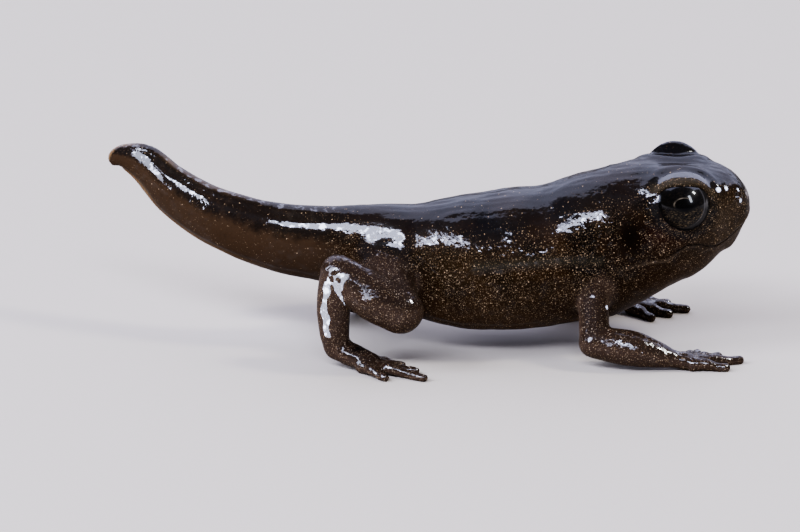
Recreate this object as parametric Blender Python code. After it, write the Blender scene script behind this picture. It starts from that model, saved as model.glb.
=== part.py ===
# A common toad that has just left the water, with all four legs and its tail not yet absorbed.
# +X points to the snout, +Y to the animal's left and +Z up; the floor it stands on is z = 0.
# Sizes are in millimetres up to the point where a mesh is made, which holds metres.

import math

import bmesh
import bpy
import numpy as np
from mathutils import Vector

MM = 0.001
SEAM = 0.12  # thin cut between neighbouring parts of the body
EYE_GAP = 0.07  # room between an eyeball and its socket
BODY_SIDES = 28  # points round the body
RINGS_PER_STATION = 2  # rings between two stations of the body
LIMB_SIDES = 14
DIGIT_SIDES = 8

# The middle of the animal's box in the frame that the tables below are written in
BOX_CENTRE = (0.84, 0.07)

# The body from the tail's tip to the snout. Each station holds its x, its y, the height of its widest
# level, how far it rises above that level and drops below it, its half width and its roundness, which is
# 2 for an ellipse and less for a section with a ridge above and below.
TAIL = (
    (-9.16, 2.86, 5.04, 0.05, 0.05, 0.05, 2.0),
    (-9.06, 2.81, 5.10, 0.24, 0.24, 0.22, 2.0),
    (-8.67, 2.60, 5.28, 0.39, 0.45, 0.34, 2.0),
    (-7.96, 2.20, 5.14, 0.64, 0.74, 0.47, 1.9),
    (-7.16, 1.60, 4.56, 0.75, 0.89, 0.56, 1.9),
    (-6.11, 1.00, 4.00, 0.88, 0.98, 0.63, 1.85),
    (-5.00, 0.50, 3.64, 1.00, 1.04, 0.69, 1.85),
    (-3.75, 0.15, 3.36, 1.12, 1.12, 0.77, 1.85),
    (-2.60, 0.02, 3.23, 1.20, 1.20, 0.85, 1.9),
)
TRUNK = (
    (-1.56, 0.00, 3.06, 1.39, 1.26, 1.00, 2.0),
    (-0.60, 0.00, 2.84, 1.62, 1.44, 1.25, 2.1),
    (0.60, 0.00, 2.48, 1.98, 1.60, 1.66, 2.15),
    (1.90, 0.00, 2.36, 2.34, 1.76, 2.06, 2.2),
    (3.20, 0.00, 2.36, 2.54, 1.80, 2.22, 2.2),
    (4.40, 0.00, 2.50, 2.54, 1.87, 2.18, 2.2),
    (5.60, 0.00, 2.86, 2.56, 2.05, 2.03, 2.2),
    (6.60, 0.00, 3.20, 2.48, 2.28, 1.92, 2.2),
    (7.50, 0.00, 3.60, 2.28, 2.24, 1.87, 2.25),
    (8.40, 0.00, 3.95, 2.00, 2.02, 1.86, 2.3),
    (9.12, 0.00, 4.13, 1.78, 1.90, 1.70, 2.3),
    (9.60, 0.00, 4.26, 1.54, 1.66, 1.53, 2.3),
    (9.98, 0.00, 4.35, 1.31, 1.42, 1.32, 2.3),
    (10.35, 0.00, 4.38, 1.06, 1.28, 1.04, 2.25),
    (10.66, 0.00, 4.40, 0.72, 0.78, 0.72, 2.2),
    (10.84, 0.00, 4.46, 0.34, 0.34, 0.34, 2.1),
    (10.89, 0.00, 4.48, 0.05, 0.05, 0.05, 2.0),
)
BODY = TAIL + TRUNK

# Where the body is parted, as places between the stations of BODY
TAIL_TIP_CUT = 3.6
TAIL_MIDDLE_CUT = 6.0
VENT_CUT = 9.05
NECK_CUT = 16.6

# The head is turned a little to the left and leant to the right, by a bend that starts and ends at these
# places along X and a lean about a line at this height
HEAD_TURN = math.radians(5.5)
HEAD_LEAN = math.radians(6.9)
LEAN_HEIGHT = 4.3
TURN_START, TURN_END = 6.0, 7.9
EYE_CENTRE = (8.60, 1.20, 4.98)
EYE_RADIUS = 0.86
EYE_TURN = (-0.05, 0.96, 0.26)  # the way that the left eye looks
LID_RADIUS = 1.06
LID_OPENING = 0.22  # how far out from the eye's centre its lids stop
NOSTRIL = (10.38, 0.82, 5.04)
NOSTRIL_RADIUS = 0.10
# The line of the mouth, from its corner to the front of the upper lip: x and height
MOUTH_LINE = (
    (8.08, 3.40),
    (8.45, 3.70),
    (8.82, 3.83),
    (9.22, 3.78),
    (9.58, 3.64),
    (9.92, 3.70),
    (10.32, 3.94),
    (11.1, 4.28),
)
MOUTH_WIDTH = 0.10
MOUTH_DEPTH = 0.14

# Joints of the limbs, with y as the distance outwards from the middle plane
RIGHT_ARM = {
    "shoulder": (6.15, 1.00, 2.95),
    "elbow": (6.00, 2.52, 0.80),
    "wrist": (8.42, 2.72, 0.34),
    "heading": -14.0,
}
LEFT_ARM = {
    "shoulder": (5.95, 1.00, 2.95),
    "elbow": (5.15, 2.56, 0.82),
    "wrist": (6.95, 3.00, 0.34),
    "heading": -4.0,
}
RIGHT_LEG = {
    "hip": (-0.70, 0.75, 2.80),
    "knee": (0.00, 2.82, 1.94),
    "ankle": (-1.92, 2.35, 3.06),
    "heel": (-1.98, 2.35, 0.56),
    "heading": 24.0,
}
LEFT_LEG = {
    "hip": (-0.70, 0.75, 2.80),
    "knee": (0.12, 2.80, 1.96),
    "ankle": (-1.78, 2.38, 3.03),
    "heel": (-1.84, 2.40, 0.56),
    "heading": 26.0,
}

# Half thickness of each bone's flesh at its near end, belly and far end
UPPER_ARM = (0.62, 0.50, 0.46)
FOREARM = (0.50, 0.56, 0.30)
THIGH = (0.84, 0.80, 0.66)
SHANK = (0.72, 0.74, 0.54)
TARSUS = (0.54, 0.52, 0.42)

# Fingers and toes: angle outwards from the limb's heading in degrees, length, and where the root sits
# along and across the palm or sole
FINGERS = ((-46.0, 0.98, 0.42, -0.26), (-22.0, 1.10, 0.62, -0.12), (-3.0, 1.52, 0.66, 0.06), (17.0, 1.12, 0.48, 0.24))
TOES = (
    (-44.0, 0.70, 0.75, -0.24),
    (-24.0, 1.05, 1.00, -0.17),
    (-8.0, 1.50, 1.10, -0.04),
    (4.0, 2.00, 1.10, 0.13),
    (24.0, 1.15, 0.95, 0.27),
)
FINGER_RADII = (0.22, 0.17, 0.14)
TOE_RADII = (0.23, 0.17, 0.135)
# Palm and sole: half width at the near end, belly and far end, thickness as a share of it, and length
PALM = ((0.30, 0.38, 0.32), 0.72, 0.72)
SOLE = ((0.44, 0.44, 0.38), 0.80, 1.20)
FLAT = 0.8  # height of a digit's middle over the floor, as a share of its radius

SKIN_COLOUR = (0.022, 0.017, 0.012, 1.0)
TAIL_COLOUR = (0.040, 0.028, 0.018, 1.0)
EYE_COLOUR = (0.012, 0.011, 0.014, 1.0)


def clear_scene():
    for obj in list(bpy.data.objects):
        bpy.data.objects.remove(obj, do_unlink=True)


def curve_through(values, places):
    """Cubic curve through the rows of values, which lie at 0, 1, 2, ..., read at the given places."""
    rows = np.asarray(values, float)
    slopes = np.gradient(rows, axis=0)
    low = np.clip(np.floor(places).astype(int), 0, len(rows) - 2)
    t = (np.asarray(places, float) - low)[:, None]
    first, last = rows[low], rows[low + 1]
    return (
        (2 * t**3 - 3 * t**2 + 1) * first
        + (t**3 - 2 * t**2 + t) * slopes[low]
        + (3 * t**2 - 2 * t**3) * last
        + (t**3 - t**2) * slopes[low + 1]
    )


def unit(vectors):
    return vectors / np.linalg.norm(vectors, axis=-1, keepdims=True)


def body_rings(start, end, swell=0.0):
    """Rings of points round the body between two places, moved outwards by swell."""
    count = max(2, math.ceil((end - start) * RINGS_PER_STATION) + 1)
    places = np.linspace(start, end, count)
    table = curve_through(BODY, places)
    centre = table[:, :3]
    rise, drop, half_width, roundness = (table[:, i : i + 1] for i in range(3, 7))
    ahead = curve_through(BODY, np.minimum(places + 0.05, len(BODY) - 1))[:, :3]
    behind = curve_through(BODY, np.maximum(places - 0.05, 0))[:, :3]
    along = unit(ahead - behind)
    on_tail = np.clip((len(TAIL) + 0.5 - places) / 2.0, 0, 1)[:, None]
    along = unit(on_tail * along + (1 - on_tail) * np.array((1.0, 0.0, 0.0)))
    across = unit(np.cross((0.0, 0.0, 1.0), along))
    up = np.cross(along, across)
    angle = np.linspace(0, 2 * math.pi, BODY_SIDES, endpoint=False)
    cosine, sine = np.cos(angle), np.sin(angle)
    side = np.sign(cosine) * np.abs(cosine) ** (2 / roundness) * (half_width + swell)
    height = np.sign(sine) * np.abs(sine) ** (2 / roundness) * (np.where(sine > 0, rise, drop) + swell)
    return centre[:, None] + side[..., None] * across[:, None] + height[..., None] * up[:, None]


def limb_rings(start, end, radii, flatten=1.0, sides=LIMB_SIDES, bow=(0.0, 0.0, 0.0)):
    """Rings of a limb from start to end with round ends: radii at the near end, the belly and the far end."""
    start, end = np.array(start, float), np.array(end, float)
    length = np.linalg.norm(end - start)
    along = (end - start) / length
    near, belly, far = radii
    steps = np.linspace(0, 1, 7)
    profile = curve_through([[near], [belly], [far]], steps * 2)[:, 0]
    round_end = np.radians((72, 48, 24))
    distance = np.concatenate(
        (-near * np.sin(round_end), steps * length, length + far * np.sin(round_end[::-1]))
    )
    radius = np.concatenate((near * np.cos(round_end), profile, far * np.cos(round_end[::-1])))
    reference = np.array((0.0, 0.0, 1.0)) if abs(along[2]) < 0.8 else np.array((1.0, 0.0, 0.0))
    across = unit(np.cross(reference, along))
    up = np.cross(along, across)
    angle = np.linspace(0, 2 * math.pi, sides, endpoint=False)
    bend = np.clip(distance / length, 0, 1)
    centre = start + distance[:, None] * along + (4 * bend * (1 - bend))[:, None] * np.array(bow)
    ring = np.cos(angle)[:, None] * across + flatten * np.sin(angle)[:, None] * up
    return centre[:, None] + radius[:, None, None] * ring


def poles_of(rings):
    """The two points that close a limb's round ends."""
    first, last = rings[0].mean(axis=0), rings[-1].mean(axis=0)
    return (
        first + 0.25 * (first - rings[1].mean(axis=0)),
        last + 0.25 * (last - rings[-2].mean(axis=0)),
    )


def solid(name, rings, poles=None):
    """A closed mesh through the rings, with a flat cap at each end or a fan to each pole."""
    rings = (np.asarray(rings) - (*BOX_CENTRE, 0.0)) * MM
    mesh = bpy.data.meshes.new(name)
    obj = bpy.data.objects.new(name, mesh)
    bpy.context.scene.collection.objects.link(obj)
    bm = bmesh.new()
    loops = [[bm.verts.new(point) for point in ring] for ring in rings]
    sides = len(loops[0])
    for low, high in zip(loops, loops[1:]):
        for i in range(sides):
            j = (i + 1) % sides
            bm.faces.new((low[i], low[j], high[j], high[i]))
    if poles is None:
        bm.faces.new(loops[0])
        bm.faces.new(loops[-1])
    else:
        tips = [bm.verts.new((np.asarray(pole) - (*BOX_CENTRE, 0.0)) * MM) for pole in poles]
        for loop, tip in zip((loops[0], loops[-1]), tips):
            for i in range(sides):
                bm.faces.new((loop[i], loop[(i + 1) % sides], tip))
    bmesh.ops.recalc_face_normals(bm, faces=bm.faces)
    bm.to_mesh(mesh)
    bm.free()
    return obj


def ball(name, centre, radii, rings=12, sides=20, pole=(0.0, 0.0, 1.0), ahead=(1.0, 0.0, 0.0)):
    """An ellipsoid: radii along ahead, across it and towards the pole."""
    pole = unit(np.array(pole, float))
    across = unit(np.cross(pole, ahead))
    ahead = np.cross(across, pole)
    level = np.radians(np.linspace(-90, 90, rings + 1))[1:-1, None, None]
    turn = np.linspace(0, 2 * math.pi, sides, endpoint=False)[None, :, None]
    flat = radii[0] * np.cos(turn) * ahead + radii[1] * np.sin(turn) * across
    points = np.array(centre) + np.cos(level) * flat + radii[2] * np.sin(level) * pole
    return solid(name, points, (centre - radii[2] * pole, centre + radii[2] * pole))


def in_box(point):
    """A point of the tables, measured from the middle of the animal's box."""
    return (point[0] - BOX_CENTRE[0], point[1] - BOX_CENTRE[1], point[2])


def take(obj, others, operation):
    """Joins the other objects to obj, or cuts them from it, and removes them."""
    group = bpy.data.collections.new(obj.name + "_pieces")
    bpy.context.scene.collection.children.link(group)
    for other in others:
        bpy.context.scene.collection.objects.unlink(other)
        group.objects.link(other)
    boolean = obj.modifiers.new("boolean", "BOOLEAN")
    boolean.operation = operation
    boolean.operand_type = "COLLECTION"
    boolean.collection = group
    boolean.solver = "EXACT"
    graph = bpy.context.evaluated_depsgraph_get()
    made = bpy.data.meshes.new_from_object(obj.evaluated_get(graph))
    obj.modifiers.remove(boolean)
    obj.data = made
    for other in others:
        bpy.data.objects.remove(other, do_unlink=True)
    bpy.data.collections.remove(group)
    keep_largest(obj)


def keep_largest(obj):
    """Clears edges under a micron, then leaves only the closed surface with the most faces."""
    bm = bmesh.new()
    bm.from_mesh(obj.data)
    bmesh.ops.triangulate(bm, faces=bm.faces)
    bmesh.ops.remove_doubles(bm, verts=bm.verts, dist=1e-6)
    waiting, shells = set(bm.faces), []
    while waiting:
        seed = waiting.pop()
        shell, edge = {seed}, [seed]
        while edge:
            for near in {f for e in edge.pop().edges for f in e.link_faces} & waiting:
                waiting.discard(near)
                shell.add(near)
                edge.append(near)
        shells.append(shell)
    shells.sort(key=len, reverse=True)
    scraps = [face for shell in shells[1:] for face in shell]
    bmesh.ops.delete(bm, geom=scraps, context="FACES")
    bm.to_mesh(obj.data)
    bm.free()


def trim(obj, point, outwards, gap=0.0):
    """Cuts off what lies past a plane, which is moved back by the gap, and closes the cut."""
    normal = Vector(outwards).normalized()
    place = Vector(in_box(point)) * MM - normal * gap * MM
    bm = bmesh.new()
    bm.from_mesh(obj.data)
    cut = bmesh.ops.bisect_plane(
        bm, geom=bm.verts[:] + bm.edges[:] + bm.faces[:], dist=1e-8, plane_co=place, plane_no=normal, clear_outer=True
    )
    rim = [item for item in cut["geom_cut"] if isinstance(item, bmesh.types.BMEdge)]
    bmesh.ops.holes_fill(bm, edges=[e for e in rim if e.is_boundary], sides=0)
    bmesh.ops.recalc_face_normals(bm, faces=bm.faces)
    bm.to_mesh(obj.data)
    bm.free()


def part_at(first, second, joint, towards_first, towards_second):
    """Parts two pieces that meet at a joint by a thin cut along the plane midway between them."""
    a = (Vector(towards_first) - Vector(joint)).normalized()
    b = (Vector(towards_second) - Vector(joint)).normalized()
    trim(first, joint, b - a, SEAM / 2)
    trim(second, joint, a - b, SEAM / 2)


def finish(obj, material, smooth_angle=50.0):
    obj.data.materials.clear()
    obj.data.materials.append(material)
    obj.data.shade_smooth()
    obj.data.set_sharp_from_angle(angle=math.radians(smooth_angle))


def new_material(name, colour, roughness):
    material = bpy.data.materials.new(name)
    material.use_nodes = True
    shader = material.node_tree.nodes["Principled BSDF"]
    shader.inputs["Base Color"].default_value = colour
    shader.inputs["Roughness"].default_value = roughness
    return material


def body_piece(name, start, end):
    """One length of the body, with half of a thin cut left open at each parted end."""
    last = len(BODY) - 1
    first_ring = body_rings(start, end)
    obj = solid(name, first_ring, None if 0 < start and end < last else ends_of_body(first_ring, start, end))
    table = curve_through(BODY, np.array((start, end)))[:, :3]
    if start > 0:
        trim(obj, table[0], -ring_normal(start), SEAM / 2)
    if end < last:
        trim(obj, table[1], ring_normal(end), SEAM / 2)
    return obj


def ring_normal(place):
    ring = body_rings(place, place + 1e-3)[0]
    quarter = BODY_SIDES // 4
    return Vector(np.cross(ring[0] - ring[2 * quarter], ring[quarter] - ring[3 * quarter])).normalized()


def ends_of_body(rings, start, end):
    """A pole for each end of a body piece, flat where it meets its neighbour."""
    return rings[0].mean(axis=0), rings[-1].mean(axis=0)


def sided(point, side):
    return (point[0], side * point[1], point[2])


def head():
    """The head with its lids, sockets, nostrils and the groove of its mouth."""
    obj = body_piece("head", NECK_CUT, len(BODY) - 1)
    lids = []
    for side in (-1, 1):
        look = Vector(sided(EYE_TURN, side)).normalized()
        lid = ball("lid", sided(EYE_CENTRE, side), (LID_RADIUS,) * 3, 14, 24, look)
        trim(lid, Vector(sided(EYE_CENTRE, side)) + look * LID_OPENING, look)
        lids.append(lid)
    take(obj, lids, "UNION")
    cutters = [mouth_cutter()]
    for side in (-1, 1):
        socket = EYE_RADIUS + EYE_GAP
        cutters.append(ball("socket", sided(EYE_CENTRE, side), (socket,) * 3, 12, 20, sided(EYE_TURN, side)))
        cutters.append(ball("nostril", sided(NOSTRIL, side), (NOSTRIL_RADIUS * 1.4, 0.14, NOSTRIL_RADIUS), 8, 10))
    take(obj, cutters, "DIFFERENCE")
    return obj


def mouth_cutter():
    """A thin curved plate at the height of the mouth, hollowed by the head's own shape a little inside its skin."""
    line = curve_through(MOUTH_LINE, np.linspace(0, len(MOUTH_LINE) - 1, 17))
    half, reach = MOUTH_WIDTH / 2, 2.4
    rings = [
        [(x, -reach, z - half), (x, reach, z - half), (x, reach, z + half), (x, -reach, z + half)] for x, z in line
    ]
    plate = solid("mouth", rings)
    core_rings = body_rings(NECK_CUT, len(BODY) - 1.02, -MOUTH_DEPTH)
    core_rings[..., 0] -= MOUTH_DEPTH
    take(plate, [solid("mouth_core", core_rings)], "DIFFERENCE")
    return plate


def digit(name, root, heading, length, radii):
    """A finger or toe that lies along the floor from its root, with a round tip."""
    near, middle, far = radii
    turn = math.radians(heading)
    steps = np.linspace(0, 1, 6)
    radius = curve_through([[near], [middle], [far]], steps * 2)[:, 0]
    rise = 0.07 * np.sin(math.pi * np.clip(steps * 1.25, 0, 1))
    x = root[0] + length * steps * math.cos(turn)
    y = root[1] + length * steps * math.sin(turn)
    centre = np.stack((x, y, radius * FLAT + rise), axis=1)
    round_end = np.radians((35, 68))
    tip = centre[-1] + far * np.sin(round_end)[:, None] * np.array((math.cos(turn), math.sin(turn), 0.0))
    centre = np.concatenate((centre, tip))
    radius = np.concatenate((radius, far * np.cos(round_end)))
    angle = np.linspace(0, 2 * math.pi, DIGIT_SIDES, endpoint=False)
    across = np.array((-math.sin(turn), math.cos(turn), 0.0))
    ring = np.cos(angle)[:, None] * across + np.sin(angle)[:, None] * np.array((0.0, 0.0, 1.0))
    rings = centre[:, None] + radius[:, None, None] * ring
    return solid(name, rings, (centre[0], centre[-1] + 0.3 * (centre[-1] - centre[-2])))


def paw(name, wrist, side, heading, pad, digits, radii):
    """A hand or foot: a pad that comes down to the floor, with its digits fused to it and a small flat under each."""
    half_widths, flatten, length = pad
    turn = math.radians(heading) * side
    forward = np.array((math.cos(turn), math.sin(turn), 0.0))
    outward = side * np.array((-math.sin(turn), math.cos(turn), 0.0))
    root = np.array(sided(wrist, side)) * (1, 1, 0)
    ball_of_foot = root + forward * length
    ball_of_foot[2] = half_widths[2] * flatten * FLAT
    pad_rings = limb_rings(sided(wrist, side), ball_of_foot, half_widths, flatten)
    obj = solid(name, pad_rings, poles_of(pad_rings))
    pieces = []
    for angle, length, along, across in digits:
        knuckle = root + forward * along + outward * across
        pieces.append(digit("digit", knuckle, math.degrees(turn) + side * angle, length, radii))
    take(obj, pieces, "UNION")
    take(obj, [floor_slab()], "DIFFERENCE")
    return obj


def floor_slab():
    """A slab whose top is the floor."""
    square = np.array(((-12, -8), (12, -8), (12, 8), (-12, 8)))
    return solid("floor", [[(x, y, z) for x, y in square] for z in (-2, 0)])


def arm(side, side_name, joints):
    """Upper arm, forearm and hand of one side, parted at the elbow and wrist."""
    shoulder, elbow, wrist = (sided(joints[k], side) for k in ("shoulder", "elbow", "wrist"))
    upper_rings = limb_rings(shoulder, elbow, UPPER_ARM, bow=(-0.06, side * 0.10, 0.0))
    fore_rings = limb_rings(elbow, wrist, FOREARM, bow=(0.0, 0.0, 0.06))
    upper = solid("upper_arm_" + side_name, upper_rings, poles_of(upper_rings))
    fore = solid("forearm_" + side_name, fore_rings, poles_of(fore_rings))
    hand = paw("hand_" + side_name, joints["wrist"], side, joints["heading"], PALM, FINGERS, FINGER_RADII)
    part_at(upper, fore, elbow, shoulder, wrist)
    palm = Vector(wrist) + Vector((1.0, 0.0, -0.12))
    part_at(fore, hand, wrist, elbow, palm)
    trim(fore, (0, 0, SEAM / 4), (0, 0, -1))
    take(upper, [swing_head(solid("body_room", body_rings(VENT_CUT, NECK_CUT, SEAM)))], "DIFFERENCE")
    return upper, fore, hand


def leg(side, side_name, joints):
    """Thigh, shank, ankle and foot of one side, parted at the knee, the ankle and the heel."""
    hip, knee, ankle, heel = (sided(joints[k], side) for k in ("hip", "knee", "ankle", "heel"))
    thigh_rings = limb_rings(hip, knee, THIGH)
    shank_rings = limb_rings(knee, ankle, SHANK, bow=(0.0, side * 0.10, -0.05))
    tarsus_rings = limb_rings(ankle, heel, TARSUS, bow=(-0.10, 0.0, 0.0))
    thigh = solid("thigh_" + side_name, thigh_rings, poles_of(thigh_rings))
    shank = solid("shank_" + side_name, shank_rings, poles_of(shank_rings))
    tarsus = solid("tarsus_" + side_name, tarsus_rings, poles_of(tarsus_rings))
    foot = paw("foot_" + side_name, joints["heel"], side, joints["heading"], SOLE, TOES, TOE_RADII)
    part_at(thigh, shank, knee, hip, ankle)
    part_at(shank, tarsus, ankle, knee, heel)
    sole = Vector(heel) + Vector((0.9, side * 0.4, -0.25))
    part_at(tarsus, foot, heel, ankle, sole)
    take(thigh, [solid("body_room", body_rings(TAIL_MIDDLE_CUT, NECK_CUT, SEAM))], "DIFFERENCE")
    return thigh, shank, tarsus, foot


def swing_head(obj):
    """Leans and bends what lies ahead of the shoulders, as HEAD_LEAN and HEAD_TURN say."""
    points = np.array([vertex.co for vertex in obj.data.vertices]) / MM + (*BOX_CENTRE, 0.0)
    span = TURN_END - TURN_START
    u = (points[:, 0] - TURN_START) / span
    part = np.clip(u, 0, 1)
    share = 3 * part**2 - 2 * part**3
    angle = HEAD_TURN * share
    sideways = HEAD_TURN * span * (part**3 - part**4 / 2 + np.maximum(u - 1, 0))
    lean, height = HEAD_LEAN * share, points[:, 2] - LEAN_HEIGHT
    y = points[:, 1] * np.cos(lean) - height * np.sin(lean)
    points[:, 2] = LEAN_HEIGHT + points[:, 1] * np.sin(lean) + height * np.cos(lean)
    points[:, 0] -= y * np.sin(angle)
    points[:, 1] = y * np.cos(angle) + sideways
    for vertex, point in zip(obj.data.vertices, (points - (*BOX_CENTRE, 0.0)) * MM):
        vertex.co = point
    return obj


def eye(side, side_name):
    return ball("eye_" + side_name, sided(EYE_CENTRE, side), (EYE_RADIUS,) * 3, 12, 20, sided(EYE_TURN, side))


def main():
    clear_scene()
    skin = new_material("dark wet skin", SKIN_COLOUR, 0.25)
    tail_skin = new_material("brown tail skin", TAIL_COLOUR, 0.25)
    eyeball = new_material("black and gold eye", EYE_COLOUR, 0.05)
    tails = [
        body_piece("tail_tip", 0, TAIL_TIP_CUT),
        body_piece("tail_middle", TAIL_TIP_CUT, TAIL_MIDDLE_CUT),
        body_piece("tail_base", TAIL_MIDDLE_CUT, VENT_CUT),
    ]
    flesh = [swing_head(body_piece("torso", VENT_CUT, NECK_CUT)), swing_head(head())]
    eyes = []
    for side, side_name, arm_joints, leg_joints in (
        (-1, "right", RIGHT_ARM, RIGHT_LEG),
        (1, "left", LEFT_ARM, LEFT_LEG),
    ):
        flesh.extend(arm(side, side_name, arm_joints))
        flesh.extend(leg(side, side_name, leg_joints))
        eyes.append(swing_head(eye(side, side_name)))
    for group, material in ((tails, tail_skin), (flesh, skin), (eyes, eyeball)):
        for obj in group:
            finish(obj, material)
    toad = bpy.data.collections.new("common toad")
    bpy.context.scene.collection.children.link(toad)
    for obj in tails + flesh + eyes:
        bpy.context.scene.collection.objects.unlink(obj)
        toad.objects.link(obj)


main()
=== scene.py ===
import math

import bpy
import numpy as np
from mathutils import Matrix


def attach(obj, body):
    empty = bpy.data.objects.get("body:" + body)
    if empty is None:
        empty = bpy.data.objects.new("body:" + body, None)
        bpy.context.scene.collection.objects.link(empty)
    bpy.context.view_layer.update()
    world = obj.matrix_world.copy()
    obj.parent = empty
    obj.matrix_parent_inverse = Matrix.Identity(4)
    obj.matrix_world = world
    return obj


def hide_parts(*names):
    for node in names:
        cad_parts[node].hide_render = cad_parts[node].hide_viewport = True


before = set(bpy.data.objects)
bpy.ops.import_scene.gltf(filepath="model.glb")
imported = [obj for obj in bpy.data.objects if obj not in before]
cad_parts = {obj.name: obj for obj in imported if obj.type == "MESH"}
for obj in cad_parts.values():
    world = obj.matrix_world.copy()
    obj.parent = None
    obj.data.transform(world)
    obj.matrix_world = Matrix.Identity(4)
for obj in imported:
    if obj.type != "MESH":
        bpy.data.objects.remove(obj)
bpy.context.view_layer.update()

# Shapes are worked out in millimetres, in a frame whose origin is boxCentre away from the model's.
millimetre = 0.001
boxCentre = np.array((0.84, 0.07, 0.0))


def unit(vectors):
    vectors = np.asarray(vectors, float)
    return vectors / np.linalg.norm(vectors, axis=-1, keepdims=True)


def ease(low, high, values):
    # 0 below low, 1 above high, and 3t^2 - 2t^3 in between
    t = np.clip((np.asarray(values, float) - low) / (high - low), 0, 1)
    return t * t * (3 - 2 * t)


def hump(values, centre, width):
    # a bell that is 1 at the centre and e^-1 one width away
    return np.exp(-(((values - centre) / width) ** 2))


def curveThrough(rows, places):
    # Hermite cubic through rows at 0, 1, 2, ... with central-difference slopes
    rows = np.asarray(rows, float)
    slopes = np.gradient(rows, axis=0)
    low = np.clip(np.floor(places).astype(int), 0, len(rows) - 2)
    t = (np.asarray(places, float) - low)[:, None]
    return (
        (2 * t**3 - 3 * t**2 + 1) * rows[low]
        + (t**3 - 2 * t**2 + t) * slopes[low]
        + (3 * t**2 - 2 * t**3) * rows[low + 1]
        + (t**3 - t**2) * slopes[low + 1]
    )


def closedTube(rings, firstPole, lastPole):
    # quads between neighbouring rings and a fan of triangles to each pole
    count, sides = rings.shape[:2]
    points = np.concatenate((rings.reshape(-1, 3), [firstPole, lastPole]))
    grid = np.arange(count * sides).reshape(count, sides)
    around = np.roll(grid, -1, axis=1)
    quads = np.stack((grid[:-1], around[:-1], around[1:], grid[1:]), axis=-1).reshape(-1, 4)
    first = np.stack((around[0], grid[0], np.full(sides, count * sides)), axis=-1)
    last = np.stack((grid[-1], around[-1], np.full(sides, count * sides + 1)), axis=-1)
    return points, quads.tolist() + first.tolist() + last.tolist()


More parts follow.
